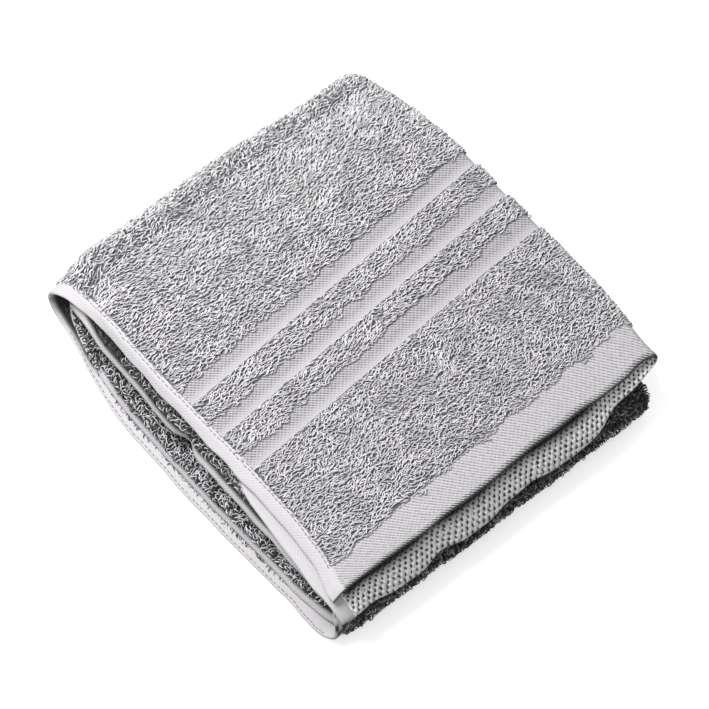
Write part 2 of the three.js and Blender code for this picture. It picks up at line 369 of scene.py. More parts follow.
def addMesh(name, points, faces, marks, materials):
    # one object from points in millimetres, faces as rows of indices and named marks,
    # an array for each point: three columns make a vector, one a number
    mesh = bpy.data.meshes.new(name)
    mesh.from_pydata(points * metresPerMillimetre, [], faces)
    mesh.polygons.foreach_set("use_smooth", np.ones(len(mesh.polygons), dtype=bool))
    for markName, values in marks.items():
        isVector = values.ndim == 2
        mark = mesh.attributes.new(markName, "FLOAT_VECTOR" if isVector else "FLOAT", "POINT")
        mark.data.foreach_set("vector" if isVector else "value",
                              np.ascontiguousarray(values, dtype=np.float32).ravel())
    for material in materials:
        mesh.materials.append(material)
    mesh.update()
    made = bpy.data.objects.new(name, mesh)
    bpy.context.scene.collection.objects.link(made)
    return made


def sweepTubes(name, centre, up, radius, marks, material):
    # many short three-sided tubes in one mesh, closed at both ends. centre holds the points
    # of each tube's middle line, and marks a number for each of them
    number, steps = centre.shape[:2]
    tangent = unit(np.gradient(centre, axis=1))
    side = unit(np.cross(tangent, up[:, None]))
    crown = np.cross(side, tangent)
    corners = np.radians([90.0, 210.0, 330.0])
    ring = (np.cos(corners)[:, None] * side[:, :, None]
            + np.sin(corners)[:, None] * crown[:, :, None])
    points = centre[:, :, None] + radius[:, None, None, None] * ring
    index = np.arange(steps * 3).reshape(steps, 3)
    a, b = index[:-1], index[1:]
    a2, b2 = np.roll(a, -1, axis=1), np.roll(b, -1, axis=1)
    walls = np.concatenate([np.stack([a, a2, b2], -1), np.stack([a, b2, b], -1)]).reshape(-1, 3)
    tube = np.concatenate([walls, index[:1, ::-1], index[-1:]])
    faces = (tube[None] + (np.arange(number) * steps * 3)[:, None, None]).reshape(-1, 3)
    marks = {key: np.repeat(values[:, :, None], 3, axis=2).ravel()
             for key, values in marks.items()}
    return addMesh(name, points.reshape(-1, 3), faces, marks, [material])


def linearColour(code):
    # sRGB hex to the linear values that shaders take
    channels = [int(code[i:i + 2], 16) / 255 for i in (0, 2, 4)]
    return [c / 12.92 if c <= 0.04045 else ((c + 0.055) / 1.055) ** 2.4
            for c in channels] + [1.0]


def addNode(tree, kind, settings=(), **inputs):
    # a node with its settings. An input is named, or numbered as i0, i1 and so on, and takes
    # a number or colour, another node's output, or a node whose first open output is meant
    node = tree.nodes.new(kind)
    for key, value in dict(settings).items():
        setattr(node, key, value)
    for key, value in inputs.items():
        socket = node.inputs[int(key[1:]) if key[1:].isdigit() else key.replace("_", " ")]
        if isinstance(value, bpy.types.Node):
            value = next(output for output in value.outputs if output.enabled)
        if isinstance(value, bpy.types.NodeSocket):
            tree.links.new(value, socket)
        else:
            socket.default_value = value
    return node


inColour = {"data_type": "RGBA"}  # setting of a Mix node


def newMaterial(name, look):
    # a matt material: its node tree, its shader, and the object's own place in millimetres
    material = bpy.data.materials.new(name)
    material.use_nodes = True
    tree = material.node_tree
    shader = next(node for node in tree.nodes if node.type == "BSDF_PRINCIPLED")
    shader.inputs["Roughness"].default_value = look["roughness"]
    shader.inputs["Sheen Weight"].default_value = look["sheen"]
    shader.inputs["Sheen Roughness"].default_value = 0.5
    place = addNode(tree, "ShaderNodeTexCoord")
    scaled = addNode(tree, "ShaderNodeVectorMath", {"operation": "SCALE"},
                     i0=place.outputs["Object"], Scale=1 / metresPerMillimetre)
    return material, tree, shader, scaled


def darkenByPaintedShade(tree, colour):
    # painted shade: towards black by the mark deep, which grows with how far in between the
    # layers a place lies
    deep = addNode(tree, "ShaderNodeAttribute", {"attribute_name": "deep"})
    return addNode(tree, "ShaderNodeMix", inColour, i0=deep, i6=colour, i7=yarn["deep"])


def finishMaterial(tree, shader, colour, height, look):
    # links the colour, and a bump so many millimetres deep
    bump = addNode(tree, "ShaderNodeBump", Height=height,
                   Distance=look["bump"] * metresPerMillimetre)
    tree.links.new(bump.outputs[0], shader.inputs["Normal"])
    tree.links.new(next(output for output in colour.outputs if output.enabled),
                   shader.inputs["Base Color"])


yarn = {
    "lit": "f4f2f4",  # sRGB at the tops of the loops
    # low: painted shade, the loops' colour down between them
    "low": "a5a3a7",  # down between them
    # ground: painted shade under the loops; the thread's darker patches mix towards it too
    "ground": "59585b",
    "pressedDark": "8f8d90",  # pile that lies pressed against another layer
    "pressedLight": "c4c2c4",
    # thread: dark grey, painted shade of the stitch holes
    "thread": "727073",
    # deep: near black, for the painted shade far in between the layers and for the darkest loops
    "deep": "1d1c1e",  # far in between the layers
}
yarn = {name: linearColour(code) for name, code in yarn.items()}

# patches, twist and flattened are repeats per millimetre
loopLook = {
    "roughness": 0.92,
    "sheen": 0.08,
    "patches": 0.06,
    "dulled": (0.5, 0.75, 0.25),  # noise from which a patch is duller, fully so, and how much
    "twist": 1.6,  # plies of the yarn, drawn at 0.6 mm because the real 0.3 mm doesn't show
    "bump": 0.2,
}
groundLook = {
    "roughness": 0.95,
    "sheen": 0.15,
    "flattened": (0.45, 0.8, 0.0),  # across and along: loops pressed to 2.2 by 1.3 mm
    "warped": 1.4,
    "shaded": (0.38, 0.62),  # noise from dark to light
    "bump": 1.6,
}
threadLook = {"roughness": 0.6, "sheen": 0.05, "patches": 0.8, "twist": 3.0, "bump": 0.1}


def makeLoopYarn():
    # ring-spun cotton left in loops, washed and tumbled: matt, a soft halo of fibres, with
    # painted shade that darkens the loops from their tops down between them, each loop a little
    # different.
    # rise is a mark, the height within the pile; a second mark says how dark the loop is, by
    # chance and by painted shade
    material, tree, shader, place = newMaterial("ring_spun_cotton_loops", loopLook)
    rise = addNode(tree, "ShaderNodeAttribute", {"attribute_name": "rise"})
    toneAndShade = addNode(tree, "ShaderNodeAttribute", {"attribute_name": "toneAndShade"})
    raised = addNode(tree, "ShaderNodeMix", inColour, i0=rise, i6=yarn["low"], i7=yarn["lit"])
    worn = addNode(tree, "ShaderNodeTexNoise", i0=place, Scale=loopLook["patches"], Detail=3.0)
    begins, full, most = loopLook["dulled"]
    dulled = addNode(tree, "ShaderNodeMapRange", i0=worn, i1=begins, i2=full, i3=0.0, i4=most)
    share = addNode(tree, "ShaderNodeMath", {"operation": "ADD", "use_clamp": True},
                    i0=toneAndShade, i1=dulled)
    colour = addNode(tree, "ShaderNodeMix", inColour, i0=share, i6=raised, i7=yarn["deep"])
    twist = addNode(tree, "ShaderNodeTexNoise", i0=place, Scale=loopLook["twist"], Detail=1.0)
    finishMaterial(tree, shader, colour, twist, loopLook)
    return material


def makeTerryGround():
    # the woven ground of terry, painted dark as the shade where loops stand over it, and where it
    # lies pressed against another layer its own flattened loops: short worm-like bumps from
    # warped noise
    material, tree, shader, place = newMaterial("terry_weave_ground", groundLook)
    flat = addNode(tree, "ShaderNodeAttribute", {"attribute_name": "clothPlace"})
    stretched = addNode(tree, "ShaderNodeVectorMath", {"operation": "MULTIPLY"},
                        i0=flat.outputs["Vector"], i1=groundLook["flattened"])
    worms = addNode(tree, "ShaderNodeTexNoise", i0=stretched, Scale=1.0, Detail=2.5,
                    Distortion=groundLook["warped"])
    dark, light = groundLook["shaded"]
    shade = addNode(tree, "ShaderNodeMapRange", i0=worms, i1=dark, i2=light, i3=0.0, i4=1.0)
    pile = addNode(tree, "ShaderNodeMix", inColour, i0=shade,
                   i6=yarn["pressedDark"], i7=yarn["pressedLight"])
    bare = addNode(tree, "ShaderNodeAttribute", {"attribute_name": "bare"})
    bared = addNode(tree, "ShaderNodeMix", inColour, i0=bare, i6=yarn["ground"], i7=pile)
    finishMaterial(tree, shader, darkenByPaintedShade(tree, bared), worms, groundLook)
    return material


# the weaves: rows and columns are two sets of slanting lines, each with its repeat along
# the cloth in millimetres and its weight, and drift is how far they stray in radians; below
# clear the weave darkens, and at hollow it is gap: the weave's own pattern, with painted shade
# in its hollows.
# the real repeats are about 1 to 2 mm, drawn at twice that, the finest that shows
weaveLook = {"roughness": 0.86, "sheen": 0.1, "noise": 0.4}  # noise in repeats per millimetre
weaves = {
    "flat_woven_cotton_band": {
        "rows": (2.3, 0.7), "columns": (3.1, 0.3), "uneven": 0.9, "drift": 1.0, "clear": 0.15,
        "hollow": -1.0, "crown": "a6a4a6", "gap": "434245", "bump": 0.25,
    },
    "pressed_cotton_hem": {
        "rows": (2.3, 0.82), "columns": (3.6, 0.18), "uneven": 1.6, "drift": 2.0, "clear": 0.3,
        "hollow": -1.2, "crown": "b5b3b5", "gap": "5c5a5f", "bump": 0.25,
    },
    "birds_eye_cotton_hem": {
        "rows": (4.2, 0.62), "columns": (3.3, 0.38), "uneven": 1.9, "drift": 5.0, "clear": -0.15,
        "hollow": -0.7, "crown": "f2f0f2", "gap": "2c2b2e", "bump": 0.8,
    },
}


def makeWeave(name):
    # height = weight cos(turn (across + along) / repeat) for the rows
    #   + weight cos(turn (across - along) / repeat) for the columns + uneven noise,
    # darker in the hollows as painted shade, all times how strongly the weave shows at that place
    look = {**weaveLook, **weaves[name]}
    material, tree, shader, place = newMaterial(name, look)
    mark = addNode(tree, "ShaderNodeAttribute", {"attribute_name": "clothPlace"})
    flat = addNode(tree, "ShaderNodeSeparateXYZ", i0=mark.outputs["Vector"])
    noise = addNode(tree, "ShaderNodeTexNoise", i0=place, Scale=look["noise"], Detail=3.0)
    height = addNode(tree, "ShaderNodeMath", {"operation": "MULTIPLY_ADD"},
                     i0=noise, i1=look["uneven"], i2=-look["uneven"] / 2)
    drift = addNode(tree, "ShaderNodeMath", {"operation": "MULTIPLY"},
                    i0=noise, i1=look["drift"])
    for operation, (repeat, weight) in (("ADD", look["rows"]), ("SUBTRACT", look["columns"])):
        diagonal = addNode(tree, "ShaderNodeMath", {"operation": operation},
                           i0=flat.outputs[0], i1=flat.outputs[1])
        turned = addNode(tree, "ShaderNodeMath", {"operation": "MULTIPLY_ADD"},
                         i0=diagonal, i1=2 * math.pi / repeat, i2=drift)
        wave = addNode(tree, "ShaderNodeMath", {"operation": "COSINE"}, i0=turned)
        height = addNode(tree, "ShaderNodeMath", {"operation": "MULTIPLY_ADD"},
                         i0=wave, i1=weight, i2=height)
    hollow = addNode(tree, "ShaderNodeMapRange", i0=height, i1=look["clear"],
                     i2=look["hollow"], i3=0.0, i4=1.0)
    share = addNode(tree, "ShaderNodeMath", {"operation": "MULTIPLY"},
                    i0=hollow, i1=flat.outputs[2])
    woven = addNode(tree, "ShaderNodeMix", inColour, i0=share,
                    i6=linearColour(look["crown"]), i7=linearColour(look["gap"]))
    raised = addNode(tree, "ShaderNodeMath", {"operation": "MULTIPLY"},
                     i0=height, i1=flat.outputs[2])
    finishMaterial(tree, shader, darkenByPaintedShade(tree, woven), raised, look)
    return material


def makeThread():
    # mercerised sewing thread: finer and a little glossier than the cloth, sunk into it, and
    # painted darker than the cloth as the shade of the holes it sinks into
    material, tree, shader, place = newMaterial("mercerised_sewing_thread", threadLook)
    uneven = addNode(tree, "ShaderNodeTexNoise", i0=place, Scale=threadLook["patches"],
                     Detail=2.0)
    colour = addNode(tree, "ShaderNodeMix", inColour, i0=uneven,
                     i6=yarn["thread"], i7=yarn["ground"])
    twist = addNode(tree, "ShaderNodeTexNoise", i0=place, Scale=threadLook["twist"], Detail=1.0)
    finishMaterial(tree, shader, colour, twist, threadLook)
    return material


loopYarn = makeLoopYarn()
skinMaterials = [makeTerryGround(), *(makeWeave(name) for name in weaves)]
sewingThread = makeThread()
print("materials made")


# the cloth itself, one closed skin
cloth = {
    "endHem": 24.0,
    "flatBands": ((101.5, 115.0), (130.5, 143.5), (159.0, 172.0)),  # from each end
    "bandStep": 0.9,  # half the length over which the ground rises beside a band
    "groundHalf": 1.5,  # half thickness where loops stand on it
    "flatHalf": 1.1,
    "hemHalf": 1.4,
    "pressed": 6.0,  # width beside a side hem over which the pile rises
    "rim": 1.3,  # how far from its edge the hem's thickness rounds off
    "rimLeast": 0.02,  # share of it at the very edge, so that the two faces stay apart
    "underNose": 7.0,  # how far the top's loops reach below the lengthwise fold
    "coverFade": 5.0,
    "boundStrip": (1.5, 5.5),  # a band's weave begins to show here and is full there
    "overcast": 3.4,  # the end hem's edge is oversewn so far
    "shown": (0.12, 0.8, 1.0, 2.4),  # how strongly the weave of side hem, end hem, band and
    # the end hem's edge shows
    # painted shade: places darken with their depth in the stack from the first number on, fully
    # so after the second: from a side hem inside the outer fold, along towards that fold, behind
    # the hems elsewhere, and from the end that has slid out. The dark creases, the covered
    # underside and the cut edge below are painted shade too
    "deepFromSide": (1.5, 3.0),
    "deepFold": (232.0, 14.0),
    "deepFoldEnd": (338.0, 12.0),  # where they lighten again
    "deepBehindHem": (9.5, 4.0),
    "deepUnderTop": (3.6, 2.6),  # where the hem above reaches over the hem
    "deepUntil": (60.0, 20.0),
    "deepCracks": (3.0, 0.2),  # creases in the side hem round the front fold: their spacing
    # and how wide they are, as a share of the noise they follow
    "deepFromEnd": (7.2, 2.2),
    "slidFor": 44.0,  # that end's length
    "covered": (0.8, 8.0),  # the rest of that ply's underside: how dark, and how far round
    # the outer fold
    "cutEdge": 0.85,
}

# where loops stand: along from and to, across from and to, the face, the spacing in
# millimetres along and across once folded, how dark as painted shade, how much that varies
# by chance, how tall, how far loops turn from their common heading in degrees, and how far
# they straggle over the patch's near border
patchColumns = ("name", "near", "far", "left", "right", "face", "rowStep", "columnStep",
                "shade", "mottle", "tall", "spread", "straggle")
outerStart, bottomStart, frontStart, lowerStart, innerStart, upperStart = legStart[1:]
overNose = plyWidth + noseLength + cloth["underNose"]
sideHem = stack["sideHem"]
otherHem, otherEdge = stack["width"] - sideHem, stack["width"] - 1.5
firstBand, secondBand, thirdBand = cloth["flatBands"]
noseLook = (plyWidth - 4, overNose, 1, 2.8, 2.4, 0.1, 0.1, 1.0, 30, 0)
patchRows = (
    ("end_field", cloth["endHem"], firstBand[0], sideHem, overNose, 1,
     1.68, 1.36, 0.0, 0.08, 0.88, 24, 3.8),
    ("stripe_a", firstBand[1], secondBand[0], sideHem, overNose, 1,
     1.75, 1.4, 0.0, 0.08, 0.95, 20, 3.4),
    ("stripe_b", secondBand[1], thirdBand[0], sideHem, overNose, 1,
     1.75, 1.4, 0.0, 0.08, 0.95, 20, 3.4),
    ("main_field", thirdBand[1], outerStart, sideHem, overNose, 1,
     1.75, 1.45, 0.0, 0.1, 1.0, 20, 3.4),
    ("outer_fold", outerStart, bottomStart + 10, sideHem, overNose, 1,
     2.1, 1.75, 0.16, 0.28, 1.0, 30, 0),
    # painted shadow: the front fold's loops are coloured dark as the shade it lies in
    ("front_fold", frontStart - 8, lowerStart + 22, sideHem, overNose, 1,
     2.3, 1.9, 0.85, 0.22, 2.0, 60, 0),
    ("bottom_nose", bottomStart + 10, frontStart - 8, *noseLook),
    ("lower_nose", lowerStart + 22, innerStart, *noseLook),
    ("upper_nose", upperStart, clothLength - thirdBand[1], *noseLook),
    ("band_one_side", onRun("top", -10), outerStart + 6, otherHem, otherEdge, -1,
     1.8, 1.6, 0.8, 0.5, 0.6, 60, 0),
    ("band_two_corner", upperStart - 8, onRun("upper", -90), otherHem - 11, otherHem + 2, 1,
     1.6, 1.5, 1.1, 0.4, 0.8, 60, 0),
    ("band_two_side", onRun("upper", -90), clothLength - 34, otherHem - 11, otherHem + 2.5, 1,
     1.8, 1.6, 0.25, 0.6, 0.9, 60, 0),
    ("band_three_corner", bottomStart - 22, bottomStart + 32, otherHem + 1, otherEdge, 1,
     1.7, 1.5, 0.55, 0.5, 0.7, 60, 0),
    ("band_three_side", bottomStart, frontStart - 14, otherHem - 11, otherHem + 3.5, 1,
     1.8, 1.6, 0.0, 0.65, 0.9, 60, 0),
    ("band_four_side", bottomStart + 30, frontStart - 45, 6.5, 16.0, -1,
     1.7, 1.5, 0.3, 0.6, 0.7, 60, 0),
    ("lower_side", lowerStart, innerStart, sideHem, 18.0, 1,
     2.0, 1.8, 0.4, 0.5, 0.9, 60, 0),
)
patches = [dict(zip(patchColumns, row)) for row in patchRows]


def loopCover(along, across, face):
    # 1 where loops stand on that face, fading to 0 beside each patch
    cover = np.zeros(np.broadcast(along, across).shape)
    fade = cloth["coverFade"]
    for patch in patches:
        if patch["face"] == face:
            past = (along - patch["near"], patch["far"] - along,
                    across - patch["left"], patch["right"] - across)
            inside = np.prod([smoothStep(distance / fade + 1) for distance in past], axis=0)
            cover = np.maximum(cover, inside)
    return cover


def skinHalf(along, across, face):
    # half thickness of the skin: ground under the loops, pressed pile elsewhere, thin hems
    # and bands, rounded off to the rim by a quarter circle
    fromEnd, fromSide = fromEdges(along, across)
    cover = loopCover(along, across, face)
    pile = stack["pressedHalf"] + (cloth["groundHalf"] - stack["pressedHalf"]) * cover
    rise = smoothStep((fromSide - stack["sideHem"]) / cloth["pressed"])
    half = cloth["hemHalf"] + (pile - cloth["hemHalf"]) * rise
    for start, end in cloth["flatBands"]:
        past = np.maximum(start - fromEnd, fromEnd - end)
        half = cloth["flatHalf"] + (half - cloth["flatHalf"]) * smoothStep(
            past / (2 * cloth["bandStep"]))
    inHem = (fromEnd <= cloth["endHem"]) | (fromSide <= stack["sideHem"])
    half = np.where(inHem, cloth["hemHalf"], half)
    rim = np.clip(np.minimum(fromEnd, fromSide) / cloth["rim"], cloth["rimLeast"], 1)
    return half * np.sqrt(1 - (1 - rim) ** 2)


def paintedShade(along, across, face):
    # painted shade: how dark a place is painted for lying deep in the stack: inside the outer
    # fold and under the top end, behind the hems of the layers below, in creases round the front
    # fold, and on the cut edge of the top end
    _, fromSide = fromEdges(along, across)
    onOuter = across < stack["width"] / 2
    slope = lambda past, name: smoothStep((past - cloth[name][0]) / cloth[name][1])
    underTop = (along > upperStart) | (~onOuter & (along > bottomStart) & (along < frontStart))
    behindHem = np.where(underTop & (face > 0), slope(fromSide, "deepUnderTop"),
                         slope(fromSide, "deepBehindHem"))
    behindHem = behindHem * (1 - slope(fromSide, "deepUntil"))
    edge = cloth["cutEdge"] * (along < cloth["rim"] / 2) * onOuter
    if face > 0:
        between = np.where(onOuter, along > lowerStart, True)
        cell, width = cloth["deepCracks"]
        cracks = (smoothStep(2 - np.abs(softNoise(along, across, cell, "cracks")) / width)
                  * (along > frontStart + cell) * (along < lowerStart) * onOuter
                  * (fromSide < stack["sideHem"]))
        return np.maximum.reduce([between * behindHem, edge, cracks])
    inFold = slope(along, "deepFold") * (1 - slope(along, "deepFoldEnd"))
    dark, roundFold = cloth["covered"]
    covered = dark * (~onOuter & (along > cloth["flatBands"][0][0])
                      & (along < outerStart + roundFold))
    slid = (along < cloth["slidFor"]) & ~onOuter
    return np.where(slid, slope(along, "deepFromEnd") * slope(fromSide, "deepBehindHem"),
                    np.maximum.reduce([slope(fromSide, "deepFromSide") * inFold, behindHem,
                                       edge, covered]))


def stopsBetween(start, end, step):
    # evenly spaced places from start to end, about a step apart
    return np.linspace(start, end, max(2, round((end - start) / step) + 1))


# the skin's grid: steps along each run and across its parts
gridSteps = {
    "rim": (0, 0.12, 0.4, 1),  # shares of the rim's width
    "endHem": 2.2, "pile": 3.4, "band": 3.3,
    "top": 3.4, "outerFold": 2.3, "bottom": 8, "frontFold": 1.5, "lower": 8,
    "innerFold": 1.8, "upper": 7,
    "sideHem": 1.2, "pressed": 1.5, "nearSide": 3, "ply": 5, "nose": 1.2,
    "nearSideWidth": 24.0,
}


def skinStops():
    # rows along and columns across, closer beside hems, bands and folds
    steps = gridSteps
    rim = cloth["rim"] * np.array(steps["rim"])
    nearEnd = [rim, stopsBetween(cloth["rim"], cloth["endHem"], steps["endHem"])]
    last = cloth["endHem"]
    step = 2 * cloth["bandStep"]
    for start, end in cloth["flatBands"]:
        nearEnd += [[last + step], stopsBetween(last + step, start - step, steps["pile"]),
                    stopsBetween(start, end, steps["band"])]
        last = end
    nearEnd = np.concatenate(nearEnd + [[last + step]])
    runs = [stopsBetween(max(legStart[k], nearEnd[-1]),
                         min(legStart[k] + legLength[k], clothLength - nearEnd[-1]),
                         steps[name]) for k, name in enumerate(legNames)]
    rows = np.unique(np.round(np.concatenate([nearEnd, *runs, clothLength - nearEnd]), 4))
    hem = stack["sideHem"]
    knots = {"sideHem": (cloth["rim"], hem), "pressed": (hem, hem + cloth["pressed"]),
             "nearSide": (hem + cloth["pressed"], hem + steps["nearSideWidth"]),
             "ply": (hem + steps["nearSideWidth"], plyWidth)}
    ply = np.concatenate([rim, *(stopsBetween(*knots[name], steps[name]) for name in knots)])
    nose = stopsBetween(plyWidth, plyWidth + noseLength, steps["nose"])
    columns = np.unique(np.round(np.concatenate([ply, nose, stack["width"] - ply]), 4))
    return rows, columns


def weaveShown(fromEnd, fromSide, face):
    # how strongly the weave shows: hems faintly, bands fully beyond their bound strip
    sideShown, endShown, bandShown, edgeShown = cloth["shown"]
    onSide = fromSide <= stack["sideHem"]
    shown = np.select(
        [onSide, (face < 0) | (fromEnd > cloth["endHem"]), fromEnd < cloth["overcast"]],
        [sideShown, bandShown, edgeShown], endShown)
    bound, full = cloth["boundStrip"]
    for start, end in cloth["flatBands"]:
        inBand = (fromEnd >= start) & (fromEnd <= end) & (fromSide > stack["sideHem"])
        shown = np.where(inBand, smoothStep((fromEnd - start - bound) / (full - bound)), shown)
    return shown


def buildSkin():
    # a grid on each face of the cloth at plus and minus the half thickness, and strips
    # that join the two grids round the rim
    rows, columns = skinStops()
    along, across = np.meshgrid(rows, columns, indexing="ij")
    fromEnd, fromSide = fromEdges(along, across)
    grids, bare, deep, places = [], [], [], []
    for face in (1, -1):
        half = skinHalf(along, across, face)
        grids.append(clothPoint(along, across, face * half).reshape(-1, 3))
        bare.append(1 - loopCover(along, across, face).ravel())
        deep.append(paintedShade(along, across, face).ravel())
        shown = weaveShown(fromEnd, fromSide, face)
        places.append(np.stack([across, along, shown], axis=-1).reshape(-1, 3))
    count = rows.size * columns.size
    index = np.arange(count).reshape(rows.size, columns.size)
    a, b, c, d = (part.ravel() for part in (
        index[:-1, :-1], index[:-1, 1:], index[1:, 1:], index[1:, :-1]))
    front = np.stack([a, b, c, d], axis=1)
    back = np.stack([a, d, c, b], axis=1) + count
    strip = lambda line: np.stack(
        [line[:-1], line[:-1] + count, line[1:] + count, line[1:]], axis=1)
    rims = [strip(index[0]), strip(index[-1][::-1]), strip(index[:, 0][::-1]),
            strip(index[:, -1])]
    faces = np.concatenate([front, back, *rims])

    # which of the skin's materials each face wears
    ground, band, hem, coarse = range(len(skinMaterials))
    middle = lambda values: (values[:-1, :-1] + values[1:, 1:]).ravel() / 2
    midEnd, midSide = middle(fromEnd), middle(fromSide)
    inBand = np.any([(midEnd > start) & (midEnd < end) for start, end in cloth["flatBands"]],
                    axis=0)
    inEnd = midEnd < cloth["endHem"]
    kinds = [np.select([midSide < stack["sideHem"], inEnd, inBand], [hem, endKind, band],
                       ground) for endKind in (hem, coarse)]
    kinds.append(np.full(len(faces) - 2 * len(a), hem))
    skin = addMesh("folded_cloth", np.concatenate(grids), faces,
                   {"clothPlace": np.concatenate(places), "bare": np.concatenate(bare),
                    "deep": np.concatenate(deep)},
                   skinMaterials)
    skin.data.polygons.foreach_set("material_index", np.concatenate(kinds).astype(np.int32))
    print("skin:", len(faces) * 2, "triangles")
    return skin


# the loops of the pile
loops = {
    "height": (0.8, 2.2),  # above the ground, lowest and highest
    "heightBy": (0.26, 0.12, 0.25),  # share by clump, by slow waves and by chance
    "clump": 7.0,  # width of the clumps that lie alike
    "slow": 24.0,
    "length": (2.4, 4.9),  # from foot to foot
    "radius": 0.43,  # two yarns side by side
    "thickness": (0.85, 1.15),  # times that
    "steps": (0, 0.28, 0.72, 1),  # of the length, where the tube bends
    "flattened": 0.6,  # power to which the arch's sine is raised
    "lean": 1.2,  # towards the end hem that lies on top
    "leanBy": (0.7, 0.5),  # share of every loop, and by clump
    "leanChance": (-0.3, 0.5),
    "heading": 2.0,  # degrees from straight across
    "headingBySlow": 0.5,
    "bow": 0.7,
    "sunk": 0.5,  # of a foot, below the ground
    "jitter": 0.42,  # of the spacing
    "staggered": 0.5,  # of the spacing, from row to row
    "inside": 0.6,  # how far a ragged border lies inside its patch
    "tufts": (5.0, 0.35),  # width of the tufts over the near border, and their mean share
    "sideTufts": 4.0,
    "pastSide": 1.0,
    "rooted": 2.0,  # the ground under a straggling loop is the ground so far inside
    "overNose": 2.2,  # height at which the nose's loops are evenly spaced
    # painted shade on the loops between the layers:
    "mottledFrom": 0.3,  # patches more mottled than this lie between the layers and darken
    "darkFrom": 12.0,  # inwards from so far beside the side hem's edge
    "darkOver": 9.0,
    "cornerReach": 90.0,  # and towards the outer fold
    "cornerDark": 0.8,
    "mostInPiece": 9500,
}


def evenPlaces(start, end, spacing, folds):
    # how to reach flat places that are evenly spaced once folded: a fold's outside stretches
    samples = 3000
    fine = np.linspace(start, end, samples)
    stretch = np.ones_like(fine)
    for low, high, factor in folds:
        stretch[(fine > low) & (fine < high)] = factor
    arc = np.concatenate([[0], np.cumsum(stretch[1:] * np.diff(fine))])
    return fine, arc, max(1, round(arc[-1] / spacing))


def scatterLoops(patch):
    # loops' middles in a jittered grid over the patch, with ragged tufts over its near border
    outside = stack["pressedHalf"] + halfPitch
    folds = [(legStart[k], legStart[k] + legLength[k], 1 + outside / legRadius[k])
             for k in (1, 3)]
    nose = [(plyWidth, plyWidth + noseLength, 1 + loops["overNose"] / halfPitch)]
    near, far = patch["near"] - patch["straggle"], patch["far"]
    fineAlong, arcAlong, rows = evenPlaces(near, far, patch["rowStep"], folds)
    fineAcross, arcAcross, columns = evenPlaces(
        patch["left"] - loops["pastSide"], patch["right"], patch["columnStep"], nose)
    i, j = np.meshgrid(np.arange(rows), np.arange(columns), indexing="ij")
    jitter = lambda: random.uniform(-loops["jitter"], loops["jitter"], i.shape)
    shift = (i % 2 - 0.5) * loops["staggered"]
    along = np.interp((i + 0.5 + jitter()) / rows * arcAlong[-1], arcAlong, fineAlong).ravel()
    across = np.interp((j + 0.5 + shift + jitter()) / columns * arcAcross[-1],
                       arcAcross, fineAcross).ravel()
    tuftWidth, mean = loops["tufts"]
    tufts = mean + softNoise(across, 0 * across + patch["near"], tuftWidth, "tufts")
    border = patch["near"] + loops["inside"] - patch["straggle"] * tufts
    sideBorder = (patch["left"] + loops["inside"]
                  + softNoise(along, 0 * along, loops["sideTufts"], "sideTufts"))
    kept = (along > border) & (across > sideBorder) | (patch["straggle"] == 0)
    return along[kept], across[kept]


def loopMesh(name, patch, along, across):
    # each loop: an arch whose height is a flattened sine over its length, bowed sideways
    # and leaning, swept by a tube
    number = along.size
    face = patch["face"]
    ground = face * skinHalf(np.maximum(along, patch["near"] + loops["rooted"]), across, face)
    root, alongWay, acrossWay, up = standOn(along, across, ground, face)
    clump = softNoise(along, across, loops["clump"], "clumps")
    slow = softNoise(along, across, loops["slow"], "slow")
    varied = lambda: random.normal(0, 1, number)
    heading = np.radians(loops["heading"] + patch["spread"] * (
        clump + loops["headingBySlow"] * slow + varied()))
    low, high = loops["height"]
    byClump, bySlow, byChance = loops["heightBy"]
    share = np.clip(0.5 + byClump * clump + bySlow * slow + byChance * varied(), 0, 1)
    height = (low + (high - low) * share) * patch["tall"]
    length = random.uniform(*loops["length"], number)
    bow = loops["bow"] * varied()
    always, byClump = loops["leanBy"]
    lean = loops["lean"] * (always + byClump * clump
                            + random.uniform(*loops["leanChance"], number))
    steps = np.array(loops["steps"])
    arch = np.sin(math.pi * steps) ** loops["flattened"]
    run = (steps - 0.5)[None] * length[:, None]
    sideways = bow[:, None] * arch[None] ** 2
    sine, cosine = np.sin(heading)[:, None], np.cos(heading)[:, None]
    alongPart = run * sine + sideways * cosine - lean[:, None] * arch[None]
    acrossPart = run * cosine - sideways * sine
    heights = height[:, None] * arch[None] - loops["sunk"] * (1 - arch[None])
    centre = (root[:, None] + alongPart[..., None] * alongWay[:, None]
              + acrossPart[..., None] * acrossWay[:, None] + heights[..., None] * up[:, None])
    # the surface under the towel presses its loops flat
    centre[..., 2] = np.maximum(centre[..., 2], loops["radius"])
    radius = loops["radius"] * random.uniform(*loops["thickness"], number)
    rise = np.clip(heights / high, 0, 1)
    # painted shade: loops of the patches between the layers darken inwards from the side hem and
    # towards the outer fold; with each patch's painted shade and chance this makes the loop's
    # darkness
    _, fromSide = fromEdges(along, across)
    cornerX = np.abs(foldedPoint(along, across, 0)[:, 0] - stack["outerFold"])
    deep = ((smoothStep((fromSide - loops["darkFrom"]) / loops["darkOver"])
             + loops["cornerDark"] * smoothStep(1 - cornerX / loops["cornerReach"]))
            * (patch["mottle"] > loops["mottledFrom"]))
    toneAndShade = np.clip(patch["shade"] + patch["mottle"] * varied() + deep, 0, 1)
    marks = {"rise": rise, "toneAndShade": np.repeat(toneAndShade[:, None], steps.size, axis=1)}
    return sweepTubes(name, centre, up, radius, marks, loopYarn)


